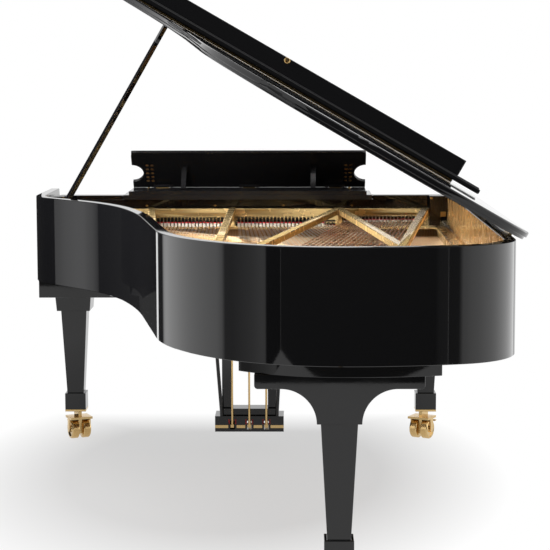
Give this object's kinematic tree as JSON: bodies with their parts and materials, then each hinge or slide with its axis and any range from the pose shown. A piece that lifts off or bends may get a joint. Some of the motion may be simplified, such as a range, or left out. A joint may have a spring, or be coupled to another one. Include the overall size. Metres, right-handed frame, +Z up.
{
  "type": "grand piano",
  "caption": "Concert grand piano with raised lid on a stick, folded front flap, music desk, keyboard and action, strung iron plate, pedal lyre and legs on braked twin-wheel casters.",
  "frame": {"origin": "on the floor under the middle of the whole outline at rest, lid raised", "axes": "+Z up, +Y from the keyboard towards the tail, +X from bass to treble"},
  "size_m": [1.6352, 2.76, 1.8718],
  "materials": {
    "black_lacquer": "polished black lacquer over wood",
    "damper_wood": "satin black, felt below",
    "hardwood": "satin clear lacquer",
    "spruce": "satin clear lacquer",
    "gold_iron": "bronze paint",
    "steel": "polished steel",
    "copper_winding": "copper wire wound on steel",
    "key_white": "gloss",
    "key_black": "satin",
    "hammer_felt": "pressed felt on wood",
    "brass": "polished"
  },
  "bodies": {
    "case": {"outer_rim": "black_lacquer", "inner_rim": "hardwood", "braces": "hardwood", "keybed": "black_lacquer", "soundboard": "spruce", "soundboard_ribs": "spruce", "long_bridge": "hardwood", "bass_bridge": "hardwood", "pinblock": "hardwood", "iron_plate": "gold_iron", "tuning_pins": "steel", "treble_strings": "steel", "bass_strings": "copper_winding", "key_slip": "black_lacquer", "cheek_blocks": "black_lacquer", "cross_rails": "black_lacquer", "lid_hinges": "brass", "stick_bracket": "brass", "leg_treble": "black_lacquer", "leg_bass": "black_lacquer", "leg_rear": "black_lacquer", "rear_leg_block": "black_lacquer", "lyre_frame": "black_lacquer", "pedal_box": "black_lacquer", "lyre_braces": "brass"},
    "lid": {"lid": "black_lacquer", "lid_hinge_leaves": "brass", "flap_hinge": "brass", "stick_pad": "brass"},
    "flap": {"front_flap": "black_lacquer", "flap_lip": "black_lacquer"},
    "lid_stick": {"lid_stick": "black_lacquer"},
    "fallboard": {"fallboard": "black_lacquer"},
    "desk_tray": {"desk_tray": "black_lacquer"},
    "music_desk": {"music_desk": "black_lacquer"},
    "desk_struts": {"desk_struts": "black_lacquer"},
    "action": {"key_frame": "spruce", "action_frame": "spruce"},
    "keys_white_a": {"white_keys_a": "key_white"},
    "keys_white_b": {"white_keys_b": "key_white"},
    "keys_black": {"black_keys": "key_black"},
    "hammers_white_a": {"hammers_white_a": "hammer_felt"},
    "hammers_white_b": {"hammers_white_b": "hammer_felt"},
    "hammers_black": {"hammers_black": "hammer_felt"},
    "dampers": {"damper_heads": "damper_wood"},
    "pedal_soft": {"pedal_soft": "brass"},
    "rod_soft": {"rod_soft": "brass"},
    "pedal_sostenuto": {"pedal_sostenuto": "brass"},
    "rod_sostenuto": {"rod_sostenuto": "brass"},
    "pedal_damper": {"pedal_damper": "brass"},
    "rod_damper": {"rod_damper": "brass"},
    "caster_treble": {"caster_treble": "brass"},
    "wheels_treble": {"wheels_treble": "brass"},
    "brake_treble": {"brake_treble": "brass"},
    "caster_bass": {"caster_bass": "brass"},
    "wheels_bass": {"wheels_bass": "brass"},
    "brake_bass": {"brake_bass": "brass"},
    "caster_rear": {"caster_rear": "brass"},
    "wheels_rear": {"wheels_rear": "brass"},
    "brake_rear": {"brake_rear": "brass"}
  },
  "joints": [
    {"name": "lid_hinge", "type": "hinge", "parent": "case", "child": "lid", "pos_m": [-0.7764, 0.12, 1.004], "axis": [0, -1, 0], "range_deg": [0, 40]},
    {"name": "flap_fold", "type": "hinge", "parent": "lid", "child": "flap", "pos_m": [-0.10308, -0.8, 1.43778], "axis": [0.866, 0, 0.5], "range_deg": [0, 180]},
    {"name": "stick_fold", "type": "hinge", "parent": "case", "child": "lid_stick", "pos_m": [0.7076, -0.734, 0.985], "axis": [-0.7826, -0.4283, -0.4518], "range_deg": [0, 76.1]},
    {"name": "fallboard_hinge", "type": "hinge", "parent": "case", "child": "fallboard", "pos_m": [0.0236, -1.175, 0.79], "axis": [1, 0, 0], "range_deg": [0, 97]},
    {"name": "tray_slide", "type": "slide", "parent": "case", "child": "desk_tray", "axis": [0, 1, 0], "range_m": [-0.1, 0.05]},
    {"name": "desk_fold", "type": "hinge", "parent": "desk_tray", "child": "music_desk", "pos_m": [0.0236, -1.005, 1.024], "axis": [-1, 0, 0], "range_deg": [0, 50]},
    {"name": "desk_strut_fold", "type": "hinge", "parent": "music_desk", "child": "desk_struts", "pos_m": [0.0236, -0.94329, 1.09754], "axis": [1, 0, 0], "range_deg": [0, 101]},
    {"name": "action_shift", "type": "slide", "parent": "case", "child": "action", "axis": [1, 0, 0], "range_m": [0, 0.00255]},
    {"name": "keys_white_a", "type": "hinge", "parent": "action", "child": "keys_white_a", "pos_m": [0.0236, -1.135, 0.703], "axis": [1, 0, 0], "range_deg": [0, 2.7], "stiffness_Nm_per_rad": 8, "springref_deg": -2.86},
    {"name": "hammers_white_a", "type": "hinge", "parent": "action", "child": "hammers_white_a", "pos_m": [0.0236, -0.845, 0.8], "axis": [1, 0, 0], "range_deg": [0, 21.6]},
    {"name": "keys_white_b", "type": "hinge", "parent": "action", "child": "keys_white_b", "pos_m": [0.0236, -1.135, 0.703], "axis": [1, 0, 0], "range_deg": [0, 2.7], "stiffness_Nm_per_rad": 8, "springref_deg": -2.86},
    {"name": "hammers_white_b", "type": "hinge", "parent": "action", "child": "hammers_white_b", "pos_m": [0.0236, -0.845, 0.8], "axis": [1, 0, 0], "range_deg": [0, 21.6]},
    {"name": "keys_black", "type": "hinge", "parent": "action", "child": "keys_black", "pos_m": [0.0236, -1.135, 0.703], "axis": [1, 0, 0], "range_deg": [0, 2.7], "stiffness_Nm_per_rad": 8, "springref_deg": -2.86},
    {"name": "hammers_black", "type": "hinge", "parent": "action", "child": "hammers_black", "pos_m": [0.0236, -0.845, 0.8], "axis": [1, 0, 0], "range_deg": [0, 21.6]},
    {"name": "damper_lift", "type": "slide", "parent": "case", "child": "dampers", "axis": [0, 0, 1], "range_m": [0, 0.0051]},
    {"name": "pedal_soft", "type": "hinge", "parent": "case", "child": "pedal_soft", "pos_m": [-0.0434, -0.936, 0.085], "axis": [1, 0, 0], "range_deg": [0, 3.6], "stiffness_Nm_per_rad": 40, "springref_deg": -3.44},
    {"name": "rod_soft", "type": "slide", "parent": "case", "child": "rod_soft", "axis": [0, 0, 1], "range_m": [0, 0.0029]},
    {"name": "pedal_sostenuto", "type": "hinge", "parent": "case", "child": "pedal_sostenuto", "pos_m": [0.0236, -0.936, 0.085], "axis": [1, 0, 0], "range_deg": [0, 3.6], "stiffness_Nm_per_rad": 40, "springref_deg": -3.44},
    {"name": "rod_sostenuto", "type": "slide", "parent": "case", "child": "rod_sostenuto", "axis": [0, 0, 1], "range_m": [0, 0.0029]},
    {"name": "pedal_damper", "type": "hinge", "parent": "case", "child": "pedal_damper", "pos_m": [0.0906, -0.936, 0.085], "axis": [1, 0, 0], "range_deg": [0, 3.6], "stiffness_Nm_per_rad": 40, "springref_deg": -3.44},
    {"name": "rod_damper", "type": "slide", "parent": "case", "child": "rod_damper", "axis": [0, 0, 1], "range_m": [0, 0.0029]},
    {"name": "swivel_treble", "type": "hinge", "parent": "case", "child": "caster_treble", "pos_m": [0.7296, -1.105, 0.11], "axis": [0, 0, 1], "continuous": true},
    {"name": "wheels_treble", "type": "hinge", "parent": "caster_treble", "child": "wheels_treble", "pos_m": [0.7174, -1.07759, 0.039], "axis": [-0.9135, -0.4067, 0], "continuous": true},
    {"name": "brake_treble", "type": "hinge", "parent": "caster_treble", "child": "brake_treble", "pos_m": [0.73326, -1.11322, 0.0585], "axis": [0.9135, 0.4067, 0], "range_deg": [0, 18]},
    {"name": "swivel_bass", "type": "hinge", "parent": "case", "child": "caster_bass", "pos_m": [-0.6824, -1.105, 0.11], "axis": [0, 0, 1], "continuous": true},
    {"name": "wheels_bass", "type": "hinge", "parent": "caster_bass", "child": "wheels_bass", "pos_m": [-0.66832, -1.07851, 0.039], "axis": [-0.8829, 0.4695, 0], "continuous": true},
    {"name": "brake_bass", "type": "hinge", "parent": "caster_bass", "child": "brake_bass", "pos_m": [-0.68663, -1.11295, 0.0585], "axis": [0.8829, -0.4695, 0], "range_deg": [0, 18]},
    {"name": "swivel_rear", "type": "hinge", "parent": "case", "child": "caster_rear", "pos_m": [-0.2814, 1.18, 0.11], "axis": [0, 0, 1], "continuous": true},
    {"name": "wheels_rear", "type": "hinge", "parent": "caster_rear", "child": "wheels_rear", "pos_m": [-0.2664, 1.20598, 0.039], "axis": [-0.866, 0.5, 0], "continuous": true},
    {"name": "brake_rear", "type": "hinge", "parent": "caster_rear", "child": "brake_rear", "pos_m": [-0.2859, 1.17221, 0.0585], "axis": [0.866, -0.5, 0], "range_deg": [0, 18]}
  ],
  "couplings": [
    {"joint": "hammers_white_a", "follows": "keys_white_a", "ratio": 7.963},
    {"joint": "hammers_white_b", "follows": "keys_white_b", "ratio": 7.963},
    {"joint": "hammers_black", "follows": "keys_black", "ratio": 7.963},
    {"joint": "rod_soft", "follows": "pedal_soft", "m_per_rad": 0.0445},
    {"joint": "rod_sostenuto", "follows": "pedal_sostenuto", "m_per_rad": 0.0445},
    {"joint": "rod_damper", "follows": "pedal_damper", "m_per_rad": 0.0445},
    {"joint": "action_shift", "follows": "pedal_soft", "m_per_rad": 0.03979},
    {"joint": "damper_lift", "follows": "pedal_damper", "m_per_rad": 0.07958},
    {"joint": "desk_strut_fold", "follows": "desk_fold", "ratio": 2}
  ]
}
